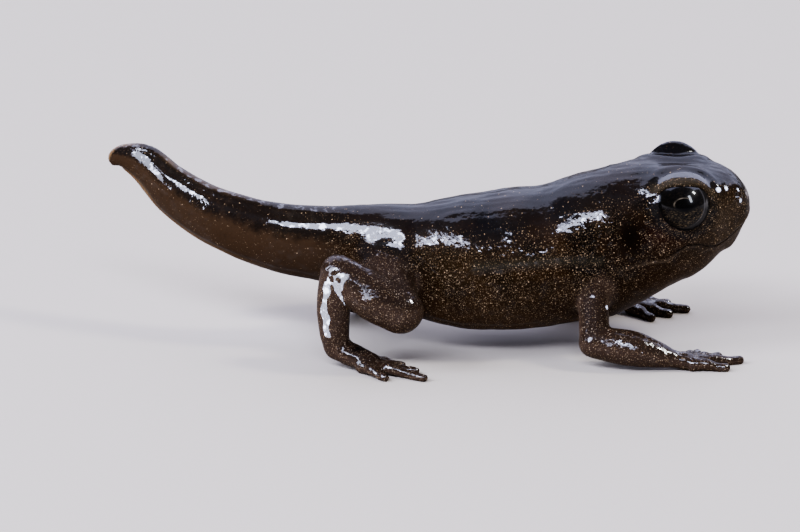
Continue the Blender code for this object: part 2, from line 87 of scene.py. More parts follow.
skinPlan = {
    # x, y, height of the widest level, rise, drop, half width and roundness, from tail tip to snout
    "body": (
        (-9.16, 2.86, 5.04, 0.05, 0.05, 0.05, 2.0), (-9.06, 2.81, 5.10, 0.24, 0.24, 0.22, 2.0),
        (-8.67, 2.60, 5.28, 0.39, 0.45, 0.34, 2.0), (-7.96, 2.20, 5.14, 0.64, 0.74, 0.47, 1.9),
        (-7.16, 1.60, 4.56, 0.75, 0.89, 0.56, 1.9), (-6.11, 1.00, 4.00, 0.88, 0.98, 0.63, 1.85),
        (-5.00, 0.50, 3.64, 1.00, 1.04, 0.69, 1.85), (-3.75, 0.15, 3.36, 1.12, 1.12, 0.77, 1.85),
        (-2.60, 0.02, 3.23, 1.20, 1.20, 0.85, 1.9), (-1.56, 0.00, 3.06, 1.39, 1.26, 1.00, 2.0),
        (-0.60, 0.00, 2.84, 1.62, 1.44, 1.25, 2.1), (0.60, 0.00, 2.48, 1.98, 1.60, 1.66, 2.15),
        (1.90, 0.00, 2.36, 2.34, 1.76, 2.06, 2.2), (3.20, 0.00, 2.36, 2.54, 1.80, 2.22, 2.2),
        (4.40, 0.00, 2.50, 2.54, 1.87, 2.18, 2.2), (5.60, 0.00, 2.86, 2.56, 2.05, 2.03, 2.2),
        (6.60, 0.00, 3.20, 2.48, 2.28, 1.92, 2.2), (7.50, 0.00, 3.60, 2.28, 2.24, 1.87, 2.25),
        (8.40, 0.00, 3.95, 2.00, 2.02, 1.86, 2.3), (9.12, 0.00, 4.13, 1.78, 1.90, 1.70, 2.3),
        (9.60, 0.00, 4.26, 1.54, 1.66, 1.53, 2.3), (9.98, 0.00, 4.35, 1.31, 1.42, 1.32, 2.3),
        (10.35, 0.00, 4.38, 1.06, 1.28, 1.04, 2.25), (10.66, 0.00, 4.40, 0.72, 0.78, 0.72, 2.2),
        (10.84, 0.00, 4.46, 0.34, 0.34, 0.34, 2.1), (10.89, 0.00, 4.48, 0.05, 0.05, 0.05, 2.0),
    ),
    "tailRows": 9,
    "headTurn": math.radians(5.5), "turnStart": 6.0, "turnEnd": 7.9,
    "headLean": math.radians(6.9), "leanHeight": 4.3,
    "eyeCentre": (8.60, 1.20, 4.98), "eyeRadius": 0.86, "lidTurn": (-0.05, 0.96, 0.26),
    "nostril": (10.38, 0.82, 5.04),
    # x and height along the closed lips, and on past the corner as the fold of the throat
    "mouth": (
        (6.3, 2.80), (6.9, 3.10), (7.4, 3.30), (7.75, 3.38), (8.08, 3.40), (8.27, 3.55), (8.45, 3.70),
        (8.63, 3.79), (8.82, 3.83), (9.02, 3.82), (9.22, 3.78), (9.40, 3.70), (9.58, 3.64), (9.75, 3.645),
        (9.92, 3.70), (10.12, 3.81), (10.32, 3.94), (11.1, 4.28),
    ),
    "arms": {
        -1: dict(shoulder=(6.15, 1.00, 2.95), elbow=(6.00, 2.52, 0.80), wrist=(8.42, 2.72, 0.34),
                 heading=-14.0),
        1: dict(shoulder=(5.95, 1.00, 2.95), elbow=(5.15, 2.56, 0.82), wrist=(6.95, 3.00, 0.34),
                heading=-4.0),
    },
    "legs": {
        -1: dict(hip=(-0.70, 0.75, 2.80), knee=(0.00, 2.82, 1.94), ankle=(-1.92, 2.35, 3.06),
                 heel=(-1.98, 2.35, 0.56), heading=24.0),
        1: dict(hip=(-0.70, 0.75, 2.80), knee=(0.12, 2.80, 1.96), ankle=(-1.78, 2.38, 3.03),
                heel=(-1.84, 2.40, 0.56), heading=26.0),
    },
    # half thickness at the near end, belly and far end; for a palm or sole also its flattening and length
    "upperArm": (0.62, 0.50, 0.46), "forearm": (0.50, 0.56, 0.30),
    "thigh": (0.84, 0.80, 0.66), "shank": (0.72, 0.74, 0.54), "tarsus": (0.54, 0.52, 0.42),
    "palm": ((0.30, 0.38, 0.32), 0.72, 0.72), "sole": ((0.44, 0.44, 0.38), 0.80, 1.20),
    # angle outwards, length, and place of the root along and across the pad
    "fingers": ((-46, 0.98, 0.42, -0.26), (-22, 1.10, 0.62, -0.12), (-3, 1.52, 0.66, 0.06),
                (17, 1.12, 0.48, 0.24)),
    "toes": ((-44, 0.70, 0.75, -0.24), (-24, 1.05, 1.00, -0.17), (-8, 1.50, 1.10, -0.04),
             (4, 2.00, 1.10, 0.13), (24, 1.15, 0.95, 0.27)),
    "fingerRadii": (0.22, 0.17, 0.14), "toeRadii": (0.23, 0.17, 0.135), "flat": 0.8,
    # the head and hands are remeshed this much finer than the rest
    "voxel": 0.0825, "finer": 1.75,
}


def sided(point, side):
    return np.array((point[0], side * point[1], point[2]), float)


def bodyFrames(places):
    # the body's row at each place, and its section's directions across and up, which follow the tail's line
    table = curveThrough(skinPlan["body"], places)
    last = len(skinPlan["body"]) - 1
    ahead = curveThrough(skinPlan["body"], np.minimum(places + 0.05, last))[:, :3]
    behind = curveThrough(skinPlan["body"], np.maximum(places - 0.05, 0))[:, :3]
    along = unit(ahead - behind)
    onTail = np.clip((skinPlan["tailRows"] + 0.5 - places) / 2, 0, 1)[:, None]
    along = unit(onTail * along + (1 - onTail) * np.array((1.0, 0.0, 0.0)))
    across = unit(np.cross((0.0, 0.0, 1.0), along))
    return table, across, np.cross(along, across)


def bodyTube():
    # superellipse sections: |side / halfWidth|^n + |height / rise or drop|^n = 1
    last = len(skinPlan["body"]) - 1
    places = np.linspace(0, last, last * 14 + 1)
    table, across, up = bodyFrames(places)
    rise, drop, halfWidth, roundness = (table[:, i : i + 1] for i in range(3, 7))
    angle = np.linspace(0, 2 * math.pi, 120, endpoint=False)
    cosine, sine = np.cos(angle), np.sin(angle)
    side = np.sign(cosine) * np.abs(cosine) ** (2 / roundness) * halfWidth
    height = np.sign(sine) * np.abs(sine) ** (2 / roundness) * np.where(sine > 0, rise, drop)
    rings = table[:, None, :3] + side[..., None] * across[:, None] + height[..., None] * up[:, None]
    return closedTube(rings, rings[0].mean(axis=0), rings[-1].mean(axis=0))


def limbTube(start, end, radii, flatten=1.0, bow=(0.0, 0.0, 0.0)):
    # a straight or bowed limb whose radius runs smoothly through its three values, with round ends
    start, end = np.array(start, float), np.array(end, float)
    length = np.linalg.norm(end - start)
    along = (end - start) / length
    steps = np.linspace(0, 1, 25)
    profile = curveThrough([[r] for r in radii], steps * 2)[:, 0]
    roundEnd = np.radians(np.linspace(84, 8, 8))
    sine, cosine = np.sin(roundEnd), np.cos(roundEnd)
    distance = np.concatenate((-radii[0] * sine, steps * length, length + radii[2] * sine[::-1]))
    radius = np.concatenate((radii[0] * cosine, profile, radii[2] * cosine[::-1]))
    reference = np.array((0.0, 0.0, 1.0)) if abs(along[2]) < 0.8 else np.array((1.0, 0.0, 0.0))
    across = unit(np.cross(reference, along))
    up = np.cross(along, across)
    angle = np.linspace(0, 2 * math.pi, 40, endpoint=False)
    bend = np.clip(distance / length, 0, 1)
    centre = start + distance[:, None] * along + (4 * bend * (1 - bend))[:, None] * np.array(bow)
    ring = np.cos(angle)[:, None] * across + flatten * np.sin(angle)[:, None] * up
    rings = centre[:, None] + radius[:, None, None] * ring
    return closedTube(rings, start - radii[0] * along, end + radii[2] * along)


def digitTube(root, heading, length, radii):
    # a finger or toe that lies along the floor, a little arched, with a knuckle and a swollen round tip
    turn = math.radians(heading)
    forward = np.array((math.cos(turn), math.sin(turn), 0.0))
    across = np.array((-math.sin(turn), math.cos(turn), 0.0))
    steps = np.linspace(0, 1, 22)
    radius = curveThrough([[r] for r in radii], steps * 2)[:, 0]
    waist, knuckle, neck = hump(steps, 0.30, 0.10), hump(steps, 0.52, 0.08), hump(steps, 0.74, 0.10)
    radius = radius * (1 - 0.07 * waist + 0.05 * knuckle - 0.06 * neck)
    lift = radius * skinPlan["flat"] + 0.07 * np.sin(math.pi * np.clip(steps * 1.25, 0, 1))
    centre = np.array((root[0], root[1], 0.0)) + (length * steps)[:, None] * forward
    centre[:, 2] = lift
    roundEnd = np.radians(np.linspace(12, 82, 6))
    tip = centre[-1] + radii[2] * np.sin(roundEnd)[:, None] * forward
    centre = np.concatenate((centre, tip))
    radius = np.concatenate((radius, radii[2] * np.cos(roundEnd)))
    angle = np.linspace(0, 2 * math.pi, 24, endpoint=False)
    ring = np.cos(angle)[:, None] * across + np.sin(angle)[:, None] * np.array((0.0, 0.0, 1.0))
    rings = centre[:, None] + radius[:, None, None] * ring
    return closedTube(rings, centre[0], centre[-1] + 0.02 * forward)


def pawTubes(root, side, heading, pad, digits, radii):
    halfWidths, flatten, length = pad
    turn = math.radians(heading) * side
    forward = np.array((math.cos(turn), math.sin(turn), 0.0))
    outward = side * np.array((-math.sin(turn), math.cos(turn), 0.0))
    start = sided(root, side)
    ballOfFoot = start * (1, 1, 0) + forward * length
    ballOfFoot[2] = halfWidths[2] * flatten * skinPlan["flat"]
    tubes = [limbTube(start, ballOfFoot, halfWidths, flatten)]
    for angle, reach, along, across in digits:
        knuckle = start * (1, 1, 0) + forward * along + outward * across
        tubes.append(digitTube(knuckle, math.degrees(turn) + side * angle, reach, radii))
    return tubes


def eyeAxes(side, turn):
    look = unit(sided(turn, side))
    forward = unit(np.array((1.0, 0.0, 0.0)) - look[0] * look)
    up = np.cross(look, forward)
    return look, forward, up * np.sign(up[2])


def lidEdge(theta):
    # how far the lids' edge is from the middle of the eye, in degrees: the upper lid comes down the most
    rise = np.sin(theta)
    behind, below = np.clip(-np.cos(theta), 0, 1), np.clip(-rise, 0, 1)
    return 81 + 2 * behind - 32 * np.clip(rise, 0, 1) ** 1.6 - 6 * below**2


def lidTube(side):
    # a shell that hugs the eyeball, turned about the line of sight, with a rolled edge where it opens
    centre = sided(skinPlan["eyeCentre"], side)
    look, forward, up = eyeAxes(side, skinPlan["lidTurn"])
    theta = np.linspace(0, 2 * math.pi, 72, endpoint=False)
    edge = lidEdge(theta)
    outer = np.linspace(0, 1, 40)
    # how far outside the eyeball each row is, and how many degrees past the lids' edge
    rows = [(0.09 + 0.10 * math.sqrt(t) + 0.01 * t, 5 + t * (174 - edge - 5)) for t in outer[::-1]]
    rows += [(0.075, 2.6), (0.055, 1.0), (0.025, 0.2), (-0.01, 0.6), (-0.05, 2.0)]
    rows += [(-0.09, -edge * t) for t in np.linspace(0.1, 0.95, 12)]
    radius = np.stack([np.full(theta.shape, skinPlan["eyeRadius"] + r) for r, _ in rows])
    phi = np.radians(np.stack([edge + offset for _, offset in rows]))
    rings = centre + radius[..., None] * (
        np.cos(phi)[..., None] * look
        + np.sin(phi)[..., None] * (np.cos(theta)[:, None] * forward + np.sin(theta)[:, None] * up)
    )
    return closedTube(rings, centre - 1.04 * look, centre + 0.75 * look)


def bendSize(x):
    # the head's turn at each x, the shift sideways that it brings, and the lean
    span = skinPlan["turnEnd"] - skinPlan["turnStart"]
    u = (x - skinPlan["turnStart"]) / span
    part = np.clip(u, 0, 1)
    share = 3 * part**2 - 2 * part**3
    sideways = skinPlan["headTurn"] * span * (part**3 - part**4 / 2 + np.maximum(u - 1, 0))
    return skinPlan["headTurn"] * share, sideways, skinPlan["headLean"] * share


def bendHead(points):
    # leans each section about its middle, then turns it about the vertical; both angles ease in at the neck
    points = points.copy()
    angle, sideways, lean = bendSize(points[:, 0])
    height = points[:, 2] - skinPlan["leanHeight"]
    y = points[:, 1] * np.cos(lean) - height * np.sin(lean)
    points[:, 2] = skinPlan["leanHeight"] + points[:, 1] * np.sin(lean) + height * np.cos(lean)
    points[:, 0] -= y * np.sin(angle)
    points[:, 1] = y * np.cos(angle) + sideways
    return points


def straightenHead(points):
    # the inverse of bendHead: the turn by repeated guesses, then the lean
    straight = points.copy()
    for _ in range(8):
        angle, sideways, lean = bendSize(straight[:, 0])
        straight[:, 1] = (points[:, 1] - sideways) / np.cos(angle)
        straight[:, 0] = points[:, 0] + straight[:, 1] * np.sin(angle)
    lean = bendSize(straight[:, 0])[2]
    y, height = straight[:, 1].copy(), straight[:, 2] - skinPlan["leanHeight"]
    straight[:, 1] = y * np.cos(lean) + height * np.sin(lean)
    straight[:, 2] = skinPlan["leanHeight"] - y * np.sin(lean) + height * np.cos(lean)
    return straight


warpX = np.linspace(-14, 15, 2901)
warpScale = 1 + (skinPlan["finer"] - 1) * ease(6.5, 7.9, warpX)
warpedX = np.concatenate(([0.0], np.cumsum((warpScale[1:] + warpScale[:-1]) / 2 * np.diff(warpX)))) + warpX[0]


def warp(points):
    # swells the front of the animal before the even remesh, so that it comes out finer there
    scale = np.interp(points[:, 0], warpX, warpScale)
    x = np.interp(points[:, 0], warpX, warpedX)
    return np.stack((x, points[:, 1] * scale, points[:, 2] * scale), axis=1)


def unwarp(points):
    x = np.interp(points[:, 0], warpedX, warpX)
    scale = np.interp(x, warpX, warpScale)
    return np.stack((x, points[:, 1] / scale, points[:, 2] / scale), axis=1)


def joined(tubes):
    points, faces, start = [], [], 0
    for tubePoints, tubeFaces in tubes:
        points.append(tubePoints)
        faces.extend([[i + start for i in face] for face in tubeFaces])
        start += len(tubePoints)
    return np.concatenate(points), faces


def readRows(items, key, width, kind=float):
    values = np.empty(len(items) * width, kind)
    items.foreach_get(key, values)
    return values.reshape(-1, width)


def neighbourMean(points, edges, degree):
    total = np.empty_like(points)
    for k in range(3):
        total[:, k] = np.bincount(edges[:, 0], points[edges[:, 1], k], len(points)) + np.bincount(
            edges[:, 1], points[edges[:, 0], k], len(points)
        )
    return total / degree[:, None]


def boneDistance(points, start, end):
    start, end = np.asarray(start, float), np.asarray(end, float)
    axis = end - start
    t = np.clip((points - start) @ axis / (axis @ axis), 0, 1)
    return np.linalg.norm(points - start - t[:, None] * axis, axis=1)


def placed(name, data):
    # a new object at the origin that carries a mesh, a light or a camera
    piece = bpy.data.objects.new(name, data)
    bpy.context.scene.collection.objects.link(piece)
    return piece


def skinTubes():
    bodyPoints, bodyFaces = bodyTube()
    tubes = [(bendHead(bodyPoints), bodyFaces)]
    for side in (-1, 1):
        lidPoints, lidFaces = lidTube(side)
        tubes.append((bendHead(lidPoints), lidFaces))
        arm, leg = skinPlan["arms"][side], skinPlan["legs"][side]
        shoulder, elbow, wrist = (sided(arm[k], side) for k in ("shoulder", "elbow", "wrist"))
        hip, knee, ankle, heel = (sided(leg[k], side) for k in ("hip", "knee", "ankle", "heel"))
        tubes.append(limbTube(shoulder, elbow, skinPlan["upperArm"], bow=(-0.06, side * 0.10, 0.0)))
        tubes.append(limbTube(elbow, wrist, skinPlan["forearm"], bow=(0.0, 0.0, 0.06)))
        tubes.append(limbTube(hip, knee, skinPlan["thigh"]))
        tubes.append(limbTube(knee, ankle, skinPlan["shank"], bow=(0.0, side * 0.10, -0.05)))
        tubes.append(limbTube(ankle, heel, skinPlan["tarsus"], bow=(-0.10, 0.0, 0.0)))
        for root, heading, names in (
            (arm["wrist"], arm["heading"], ("palm", "fingers", "fingerRadii")),
            (leg["heel"], leg["heading"], ("sole", "toes", "toeRadii")),
        ):
            tubes += pawTubes(root, side, heading, *(skinPlan[name] for name in names))
    return tubes


def remeshedSkin():
    points, faces = joined(skinTubes())
    rough = bpy.data.meshes.new("roughSkin")
    rough.from_pydata(warp(points).tolist(), [], faces)
    holder = placed("roughSkin", rough)
    remesh = holder.modifiers.new("even", "REMESH")
    remesh.mode = "VOXEL"
    remesh.voxel_size = skinPlan["voxel"]
    remesh.adaptivity = 0
    graph = bpy.context.evaluated_depsgraph_get()
    even = bpy.data.meshes.new_from_object(holder.evaluated_get(graph))
    bpy.data.objects.remove(holder, do_unlink=True)
    bpy.data.meshes.remove(rough)
    return even


def eyeAngles(straight, side):
    # distance from the middle of the eye, angle from the lids' axis in degrees, and angle round it
    rel = straight - sided(skinPlan["eyeCentre"], side)
    look, forward, up = eyeAxes(side, skinPlan["lidTurn"])
    r = np.linalg.norm(rel, axis=1)
    phi = np.degrees(np.arccos(np.clip(rel @ look / np.maximum(r, 1e-6), -1, 1)))
    theta = np.arctan2(rel @ up, rel @ forward)
    return r, phi, theta


def blendWeights(points):
    # 1 where a limb grows from the body or bends, falling to 0 away from it
    weight = np.zeros(len(points))
    straight = straightenHead(points)
    for side in (-1, 1):
        arm, leg = skinPlan["arms"][side], skinPlan["legs"][side]
        # place, reach and strength
        for place, reach, strength in (
            ((arm["shoulder"][0] - 0.05, 1.80, 2.25), 1.0, 1.0), (arm["elbow"], 0.62, 0.7),
            (arm["wrist"], 0.50, 0.8), ((-0.60, 1.25, 2.95), 1.55, 1.0), (leg["knee"], 0.7, 0.35),
            (leg["ankle"], 0.62, 0.5), (leg["heel"], 0.62, 0.8),
        ):
            distance = np.linalg.norm(points - sided(place, side), axis=1)
            weight = np.maximum(weight, strength * (1 - ease(0.3 * reach, reach, distance)))
        r, phi, _ = eyeAngles(straight, side)
        weight = np.maximum(weight, 0.9 * hump(r, 1.08, 0.22) * ease(90, 108, phi))
    return weight


def polylineDistance(u, v, line):
    # distance in the (u, v) plane to a line through points, and how far along it the nearest place is
    best = np.full(len(u), 1e9)
    place = np.zeros(len(u))
    line = np.asarray(line, float)
    for i, (a, b) in enumerate(zip(line[:-1], line[1:])):
        axis = b - a
        t = np.clip(((u - a[0]) * axis[0] + (v - a[1]) * axis[1]) / (axis @ axis), 0, 1)
        d = np.hypot(u - a[0] - t * axis[0], v - a[1] - t * axis[1])
        near = d < best
        best = np.where(near, d, best)
        place = np.where(near, (i + t) / (len(line) - 1), place)
    return best, place


def waves(points, wavelength, count, seed):
    # a smooth random field: plane waves in random directions, summed and divided by the root of their number
    rng = np.random.default_rng(seed)
    directions = unit(rng.normal(size=(count, 3)))
    directions = directions * rng.uniform(0.75, 1.3, (count, 1)) * 2 * math.pi / wavelength
    total = np.zeros(len(points))
    for direction, phase in zip(directions, rng.uniform(0, 2 * math.pi, count)):
        total += np.sin(points @ direction + phase)
    return total / math.sqrt(count)


# how deep or high each form of the skin is, in millimetres
reliefPlan = {
    "mouthDepth": 0.065, "mouthWidth": 0.032, "lip": 0.026, "chinInset": 0.045,
    "throatCrease": 0.034, "throatEdge": 0.030, "throatFold": 0.018, "finGroove": 0.035,
    "nostrilDepth": 0.13, "nostrilWidth": 0.072, "nostrilRim": 0.026, "snoutRidge": 0.022,
    "lidCrease": 0.014, "lidRoof": 0.050, "underLid": 0.016, "brow": 0.075, "eyeCorner": 0.030,
    "bridge": 0.15, "farEye": 0.09,
    # folds of the flank: x and height, depth, width
    "folds": (
        (((2.2, 2.78), (3.2, 2.94), (4.4, 3.06), (5.2, 3.10), (5.8, 3.02), (6.3, 2.74)), 0.030, 0.17),
        (((3.0, 2.10), (4.3, 2.36), (5.2, 2.48), (5.7, 2.38)), 0.016, 0.14),
        (((0.7, 1.20), (1.8, 1.00), (3.2, 0.98), (4.6, 1.12)), 0.030, 0.08),
        (((6.42, 4.35), (6.20, 3.95), (6.05, 3.50), (6.00, 3.15)), 0.035, 0.10),
        (((0.3, 3.35), (0.75, 2.95), (1.05, 2.40), (1.12, 1.90)), 0.022, 0.12),
    ),
    # shallow hollows of the back and neck, which break the long highlight: x, height, two reaches, depth
    "dips": ((2.55, 4.35, 0.55, 0.5, 0.05), (4.35, 4.45, 0.42, 0.6, 0.06), (6.75, 4.85, 0.45, 0.5, 0.05),
             (0.35, 3.95, 0.25, 0.4, 0.03)),
    "waves": 0.0045, "waveLength": 0.55, "swell": 0.0054, "backWrinkles": 0.0080,
}


def wornAt(x, z, spots):
    # soft spots in side view: the largest bell of those listed as x, height, two reaches and strength
    return np.max([s[4] * hump(x, s[0], s[2]) * hump(z, s[1], s[3]) for s in spots], axis=0)


def wornAround(points, spots):
    # round spots on both sides: the largest bell of those listed as place, reach, strength
    mirrored = points * (1, -1, 1)
    bells = [strength * hump(np.linalg.norm(p - sided(place, -1), axis=1), 0, reach)
             for place, reach, strength in spots for p in (points, mirrored)]
    return np.max(bells, axis=0)


# where the gold dots crowd or thin out, where the skin is redder or paler, and where the film is broken
markPlan = {
    "gold": ((1.75, 3.0, 1.2, 0.9, 1.0), (3.6, 4.55, 0.6, 0.4, 0.8), (5.75, 4.95, 0.7, 0.35, 0.9),
             (3.6, 2.1, 1.6, 0.8, 0.7), (9.4, 4.3, 0.8, 0.5, 0.5), (6.3, 5.2, 0.9, 0.3, 0.6)),
    # bare: darker patches with few dots; the spot at x 7.95 and height 4.75 is painted shade in the eye's
    # rear corner
    "bare": ((7.1, 4.05, 0.58, 0.80, 1.18), (7.95, 4.75, 0.16, 0.40, 1.0), (4.9, 1.6, 0.9, 0.35, 0.3),
             (2.9, 3.9, 0.8, 0.4, 0.6), (9.3, 4.75, 0.35, 0.4, 0.5)),
    "red": ((7.9, 4.0, 0.75, 0.35, 1.0), (8.9, 3.95, 0.6, 0.2, 0.6)),
    "pale": ((9.85, 4.50, 0.60, 0.60, 1.0),),
    "dry": ((4.05, 4.08, 0.76, 0.60, 1.2), (6.90, 4.95, 0.76, 0.55, 1.2), (2.60, 4.00, 0.88, 0.50, 0.86),
            (0.30, 3.75, 0.22, 0.5, 1.0), (5.50, 4.88, 0.90, 0.20, 1.1), (4.72, 4.46, 0.26, 0.30, 0.9),
            (5.14, 4.42, 0.20, 0.22, 0.48), (4.15, 3.76, 0.55, 0.14, 0.8), (-1.50, 3.28, 0.46, 0.22, 1.0),
            (-1.20, 3.52, 0.30, 0.16, 1.0), (-0.98, 3.38, 0.24, 0.18, 1.0), (-0.55, 3.10, 0.40, 0.22, 1.0),
            (0.25, 3.30, 0.24, 0.32, 1.0), (5.0, 3.95, 1.1, 0.24, 1.0), (-5.05, 4.0, 1.1, 1.5, 1.1),
            (-9.0, 5.2, 0.75, 1.5, 1.0), (7.1, 3.95, 0.45, 0.4, 1.0)),
    "dryLimb": ((6.10, 1.80, 0.55, 0.75, 1.0), (-0.35, 2.85, 0.9, 0.40, 0.8)),
    # where the film sags and so faces upwards: place, reach and strength
    "sag": (((-1.05, 3.30, 2.46), 0.26, 1.0), ((-0.70, 3.34, 2.05), 0.14, 1.0),
            ((6.44, 3.05, 0.89), 0.17, 0.52), ((6.84, 3.07, 0.84), 0.14, 0.5),
            ((7.18, 3.08, 0.79), 0.17, 0.55), ((7.50, 3.07, 0.72), 0.17, 0.75),
            ((7.82, 3.04, 0.64), 0.17, 0.8), ((8.10, 3.00, 0.55), 0.13, 0.75)),
    # small glints on the near side of the snout and the upper arm: place, reach and strength
    "glint": (((9.704, 1.096, 5.383), 0.11, 1.1), ((9.979, 0.927, 5.366), 0.11, 1.1),
              ((10.40, 0.653, 5.199), 0.09, 1.1), ((10.479, 0.809, 4.894), 0.14, 0.9),
              ((5.94, 2.10, 2.14), 0.13, 1.1), ((6.375, 2.22, 1.86), 0.11, 1.0),
              ((5.84, 2.52, 1.45), 0.13, 1.0), ((5.84, 2.45, 1.62), 0.11, 1.0),
              ((5.86, 2.86, 1.02), 0.12, 1.0)),
    # how far the film of tail and hip is drawn to one slope, in degrees, and how wide that reaches
    "levelShare": 0.48, "levelSlope": 32, "levelSpread": 20,
}


def limbShare(points):
    # 1 on arms, legs and all that is near the floor, 0 on the body
    onLimb = np.zeros(len(points))
    for side in (-1, 1):
        arm, leg = skinPlan["arms"][side], skinPlan["legs"][side]
        for limb, start, end, reach in (
            (arm, "shoulder", "elbow", 0.62), (arm, "elbow", "wrist", 0.66), (leg, "hip", "knee", 0.92),
            (leg, "knee", "ankle", 0.86), (leg, "ankle", "heel", 0.66),
        ):
            distance = boneDistance(points, sided(limb[start], side), sided(limb[end], side))
            onLimb = np.maximum(onLimb, 1 - ease(0.85 * reach, 1.25 * reach, distance))
    return np.maximum(onLimb * ease(1.15, 1.7, np.abs(points[:, 1])), 1 - ease(0.55, 0.75, points[:, 2]))


def tailShares(points, body):
    # how much of each point is tail and how much is fin; relative is 0 at its middle line and 1 at its edge
    x, y, _ = points.T
    centre, _, up = bodyFrames(np.linspace(0, 10, 201))
    order = np.argsort(centre[:, 0])
    axisX = centre[order, 0]
    nearest = np.array([np.interp(x, axisX, centre[order, k]) for k in range(6)]).T
    upThere = unit(np.array([np.interp(x, axisX, up[order, k]) for k in range(3)]).T)
    height = np.einsum("ij,ij->i", points - nearest[:, :3], upThere)
    relative = np.abs(height) / np.where(height > 0, nearest[:, 3], nearest[:, 4])
    tail = (1 - ease(-3.0, -0.9, x)) * body * (1 - ease(1.0, 1.3, np.abs(y - nearest[:, 1])))
    low, high = np.where(height > 0, [[0.90], [1.06]], [[0.74], [0.94]])
    return tail, tail * (1 - ease(-7.0, -3.6, x)) * ease(low, high, relative), relative


def faceRelief(straight, normals):
    # lids, nostrils and the ridges of the snout, on both sides, with the masks that go with them
    plan = reliefPlan
    (sx, sy, sz), (_, ny, nz) = straight.T, normals.T
    offset, lidBand, lidRim, lidRidge, nostrils, lidded = np.zeros((6, len(straight)))
    for side in (-1, 1):
        r, phi, theta = eyeAngles(straight, side)
        near = hump(r, skinPlan["eyeRadius"] + 0.13, 0.15) * (sy * side > 0)
        fromEdge = phi - lidEdge(theta)
        upper = ease(0.05, 0.45, np.sin(theta))
        offset -= plan["lidCrease"] * near * upper * hump(fromEdge, 17, 5)
        offset += plan["lidRoof"] * near * upper * hump(fromEdge, 31, 8)
        offset -= plan["underLid"] * near * (1 - upper) * hump(fromEdge, 16, 6)
        offset += plan["brow"] * hump(r, 1.21, 0.15) * ease(0.3, 0.7, nz) * ease(5.2, 5.5, sz)
        facing = ease(-0.3, 0.1, side * ny)
        lidRidge = np.maximum(lidRidge, near * upper * facing * hump(fromEdge, 24, 8))
        lidBand = np.maximum(lidBand, near * upper * ease(-2, 2, fromEdge) * (1 - ease(16, 22, fromEdge)))
        # the lower lid's rim is painted lighter grey: a painted highlight along the lid's edge
        lidRim = np.maximum(lidRim, near * (1 - upper) * (1 - ease(4, 8, fromEdge)))
        lidded = np.maximum(lidded, hump(r, 1.0, 0.30))
        if side > 0:
            # the bridge between the eyes is a little hollow, and the far lid stands a little higher
            offset -= plan["bridge"] * hump(sx, 8.7, 1.0) * hump(sy, 0.18, 0.5) * ease(5.3, 5.6, sz)
            dome = hump(r, 1.06, 0.2)
            offset += plan["farEye"] * dome * ease(10, 30, fromEdge) * ease(5.3, 5.7, sz) * ease(0.7, 1.2, sy)
            farDome = dome * ease(0.14, 0.30, -ny) * ease(5.3, 5.6, sz)
        distance = np.linalg.norm(straight - sided(skinPlan["nostril"], side), axis=1)
        nostrils = np.maximum(nostrils, hump(distance, 0, 0.085))
        offset -= plan["nostrilDepth"] * hump(distance, 0, plan["nostrilWidth"])
        offset += plan["nostrilRim"] * hump(distance, 0.16, 0.06)
        ridge, _ = polylineDistance(sx, sy * side, ((9.45, 1.28), (9.95, 0.98), (10.40, 0.56)))
        offset += plan["snoutRidge"] * hump(ridge, 0, 0.11) * hump(sz, 5.32, 0.22)
        corner, _ = polylineDistance(sx, sz, ((7.45, 5.22), (7.65, 5.36), (7.85, 5.50)))
        offset += plan["eyeCorner"] * hump(corner, 0, 0.10) * ease(0.7, 1.1, sy * side)
    return offset, lidBand, lidRim, lidRidge, nostrils, lidded, farDome


def nearGlints(points, straight, normals):
    # the strip of light down the near tarsus, most ragged at the ankle, and the small glints of snout and arm
    z, leg = points[:, 2], skinPlan["legs"][-1]
    nx, ny, _ = normals.T
    distance = boneDistance(points, sided(leg["ankle"], -1), sided(leg["heel"], -1))
    atAnkle, below = hump(z, 3.1, 0.25), 1 - ease(1.5, 2.3, z)
    azimuth = np.degrees(np.arctan2(nx, -ny)) + 6 * waves(points, 0.45, 16, 3)
    azimuth += 12 * atAnkle * waves(points, 0.24, 16, 9)
    strip = (0.82 - 0.09 * atAnkle) * hump(azimuth, -31 + 6 * atAnkle + 4 * below, 26 + 8 * below)
    strip *= (1 - ease(0.70, 0.95, distance)) * ease(0.85, 1.1, z) * (1 - ease(3.25, 3.5, z))
    spots = wornAround(straight, markPlan["glint"]) * (1 + 0.2 * waves(points, 0.22, 16, 13))
    return (straight[:, 1] < 0) * np.maximum(strip, spots)


